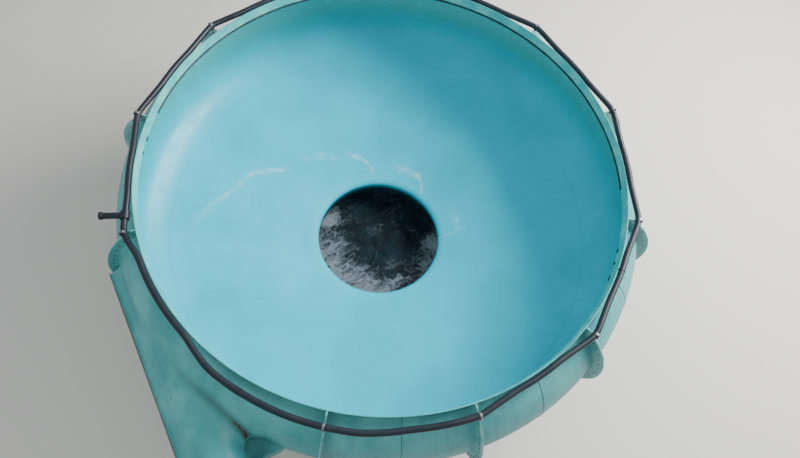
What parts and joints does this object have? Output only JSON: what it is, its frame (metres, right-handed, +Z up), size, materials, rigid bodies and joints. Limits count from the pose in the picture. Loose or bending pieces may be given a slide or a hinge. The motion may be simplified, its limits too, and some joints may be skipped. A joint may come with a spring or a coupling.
{
  "type": "water slide bowl",
  "caption": "Open round water slide bowl of bolted panels on a steel ring stand, with a closed entry tube, a rim water pipe and a drop hole over a splash basin.",
  "frame": {"origin": "on the ground under the middle of the drop hole, on the axis of the bowl", "axes": "+Z up along the bowl's axis; the entry tube arrives from -Y, and -Y is the side that the picture was taken from"},
  "size_m": [10.3158, 13.4747, 4.8816],
  "materials": {
    "teal_gelcoat": "glass fibre, weathered teal gelcoat",
    "turquoise_gelcoat": "glass fibre, smooth turquoise gelcoat",
    "grey_pipe": "dark grey pipe plastic",
    "stainless": "stainless steel clamps",
    "green_paint": "green painted steel",
    "basin_concrete": "painted concrete"
  },
  "bodies": {
    "root": {"wall_panel_1": "teal_gelcoat", "wall_panel_2": "teal_gelcoat", "wall_panel_3": "teal_gelcoat", "wall_panel_4": "teal_gelcoat", "wall_panel_5": "teal_gelcoat", "wall_panel_6": "teal_gelcoat", "wall_panel_7": "teal_gelcoat", "wall_panel_8": "teal_gelcoat", "wall_panel_9": "teal_gelcoat", "wall_panel_10": "teal_gelcoat", "entry_panel": "teal_gelcoat", "flume_top_1": "teal_gelcoat", "flume_bottom_1": "teal_gelcoat", "flume_top_2": "teal_gelcoat", "flume_bottom_2": "teal_gelcoat", "rim_collar_1": "turquoise_gelcoat", "rim_collar_2": "turquoise_gelcoat", "rim_collar_3": "turquoise_gelcoat", "rim_collar_4": "turquoise_gelcoat", "floor_panel_1": "turquoise_gelcoat", "floor_panel_2": "turquoise_gelcoat", "floor_panel_3": "turquoise_gelcoat", "floor_panel_4": "turquoise_gelcoat", "floor_panel_5": "turquoise_gelcoat", "floor_panel_6": "turquoise_gelcoat", "hole_ring": "turquoise_gelcoat", "ring_pipe_1": "grey_pipe", "ring_pipe_2": "grey_pipe", "ring_pipe_3": "grey_pipe", "feed_branch": "grey_pipe", "pipe_clamp_1": "stainless", "pipe_clamp_2": "stainless", "pipe_clamp_3": "stainless", "pipe_clamp_4": "stainless", "pipe_clamp_5": "stainless", "pipe_clamp_6": "stainless", "pipe_clamp_7": "stainless", "pipe_clamp_8": "stainless", "pipe_clamp_9": "stainless", "pipe_clamp_10": "stainless", "pipe_clamp_11": "stainless", "ring_beam_1": "green_paint", "ring_beam_2": "green_paint", "ring_beam_3": "green_paint", "hub_ring": "green_paint", "floor_arm_1": "green_paint", "floor_arm_2": "green_paint", "floor_arm_3": "green_paint", "floor_arm_4": "green_paint", "floor_arm_5": "green_paint", "floor_arm_6": "green_paint", "leg_1": "green_paint", "leg_2": "green_paint", "leg_3": "green_paint", "leg_4": "green_paint", "leg_5": "green_paint", "leg_6": "green_paint", "flume_post": "green_paint", "basin_wall": "basin_concrete", "basin_floor": "basin_concrete"}
  },
  "joints": []
}
